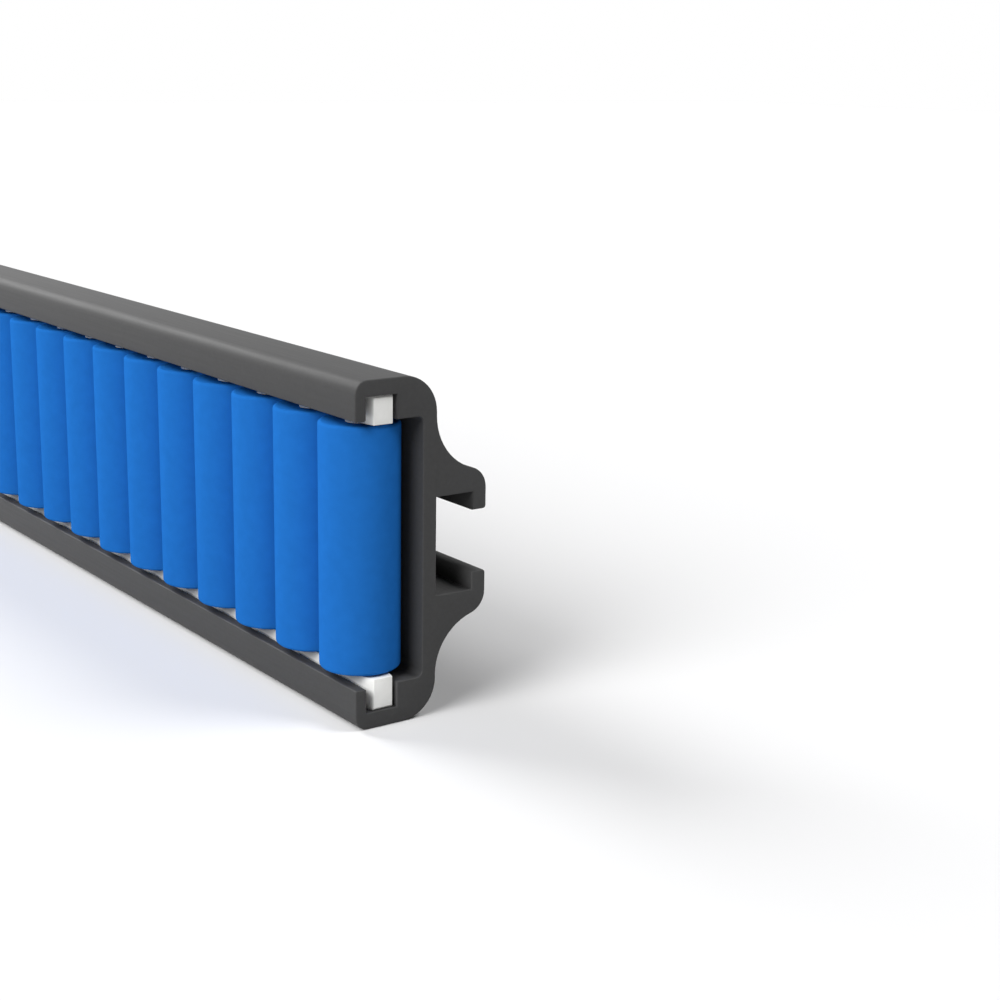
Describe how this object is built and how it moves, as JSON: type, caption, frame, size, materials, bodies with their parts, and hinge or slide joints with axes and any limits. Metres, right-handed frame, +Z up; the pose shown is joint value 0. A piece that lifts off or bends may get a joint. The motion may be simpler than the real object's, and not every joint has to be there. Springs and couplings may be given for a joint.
{
  "type": "roller track",
  "caption": "Straight plastic C-profile standing on edge, lined with a row of upright plain rollers on pins, with a hooked mounting slot along its back.",
  "frame": {"origin": "on the bottom face, below the middle of the row of roller axes", "axes": "+X along the track, +Y from the roller side to the mounting side, +Z up along the roller axes"},
  "size_m": [0.3568, 0.0461, 0.1],
  "materials": {
    "profile": "satin dark grey extruded plastic",
    "roller": "smooth blue moulded plastic",
    "pin": "plain drawn steel",
    "end_block": "satin off-white moulded plastic"
  },
  "bodies": {
    "track": {"profile": "profile", "pin_01": "pin", "pin_02": "pin", "pin_03": "pin", "pin_04": "pin", "pin_05": "pin", "pin_06": "pin", "pin_07": "pin", "pin_08": "pin", "pin_09": "pin", "pin_10": "pin", "pin_11": "pin", "pin_12": "pin", "pin_13": "pin", "pin_14": "pin", "top_block_01": "end_block", "top_block_02": "end_block", "top_block_03": "end_block", "top_block_04": "end_block", "top_block_05": "end_block", "top_block_06": "end_block", "top_block_07": "end_block", "top_block_08": "end_block", "top_block_09": "end_block", "top_block_10": "end_block", "top_block_11": "end_block", "top_block_12": "end_block", "top_block_13": "end_block", "top_block_14": "end_block", "bottom_block_01": "end_block", "bottom_block_02": "end_block", "bottom_block_03": "end_block", "bottom_block_04": "end_block", "bottom_block_05": "end_block", "bottom_block_06": "end_block", "bottom_block_07": "end_block", "bottom_block_08": "end_block", "bottom_block_09": "end_block", "bottom_block_10": "end_block", "bottom_block_11": "end_block", "bottom_block_12": "end_block", "bottom_block_13": "end_block", "bottom_block_14": "end_block"},
    "roller_01": {"roller_01": "roller"},
    "roller_02": {"roller_02": "roller"},
    "roller_03": {"roller_03": "roller"},
    "roller_04": {"roller_04": "roller"},
    "roller_05": {"roller_05": "roller"},
    "roller_06": {"roller_06": "roller"},
    "roller_07": {"roller_07": "roller"},
    "roller_08": {"roller_08": "roller"},
    "roller_09": {"roller_09": "roller"},
    "roller_10": {"roller_10": "roller"},
    "roller_11": {"roller_11": "roller"},
    "roller_12": {"roller_12": "roller"},
    "roller_13": {"roller_13": "roller"},
    "roller_14": {"roller_14": "roller"}
  },
  "joints": [
    {"name": "roller_01_spin", "type": "hinge", "parent": "track", "child": "roller_01", "pos_m": [0.1651, 0, 0.05], "axis": [0, 0, 1], "continuous": true},
    {"name": "roller_02_spin", "type": "hinge", "parent": "track", "child": "roller_02", "pos_m": [0.1397, 0, 0.05], "axis": [0, 0, 1], "continuous": true},
    {"name": "roller_03_spin", "type": "hinge", "parent": "track", "child": "roller_03", "pos_m": [0.1143, 0, 0.05], "axis": [0, 0, 1], "continuous": true},
    {"name": "roller_04_spin", "type": "hinge", "parent": "track", "child": "roller_04", "pos_m": [0.0889, 0, 0.05], "axis": [0, 0, 1], "continuous": true},
    {"name": "roller_05_spin", "type": "hinge", "parent": "track", "child": "roller_05", "pos_m": [0.0635, 0, 0.05], "axis": [0, 0, 1], "continuous": true},
    {"name": "roller_06_spin", "type": "hinge", "parent": "track", "child": "roller_06", "pos_m": [0.0381, 0, 0.05], "axis": [0, 0, 1], "continuous": true},
    {"name": "roller_07_spin", "type": "hinge", "parent": "track", "child": "roller_07", "pos_m": [0.0127, 0, 0.05], "axis": [0, 0, 1], "continuous": true},
    {"name": "roller_08_spin", "type": "hinge", "parent": "track", "child": "roller_08", "pos_m": [-0.0127, 0, 0.05], "axis": [0, 0, 1], "continuous": true},
    {"name": "roller_09_spin", "type": "hinge", "parent": "track", "child": "roller_09", "pos_m": [-0.0381, 0, 0.05], "axis": [0, 0, 1], "continuous": true},
    {"name": "roller_10_spin", "type": "hinge", "parent": "track", "child": "roller_10", "pos_m": [-0.0635, 0, 0.05], "axis": [0, 0, 1], "continuous": true},
    {"name": "roller_11_spin", "type": "hinge", "parent": "track", "child": "roller_11", "pos_m": [-0.0889, 0, 0.05], "axis": [0, 0, 1], "continuous": true},
    {"name": "roller_12_spin", "type": "hinge", "parent": "track", "child": "roller_12", "pos_m": [-0.1143, 0, 0.05], "axis": [0, 0, 1], "continuous": true},
    {"name": "roller_13_spin", "type": "hinge", "parent": "track", "child": "roller_13", "pos_m": [-0.1397, 0, 0.05], "axis": [0, 0, 1], "continuous": true},
    {"name": "roller_14_spin", "type": "hinge", "parent": "track", "child": "roller_14", "pos_m": [-0.1651, 0, 0.05], "axis": [0, 0, 1], "continuous": true}
  ]
}
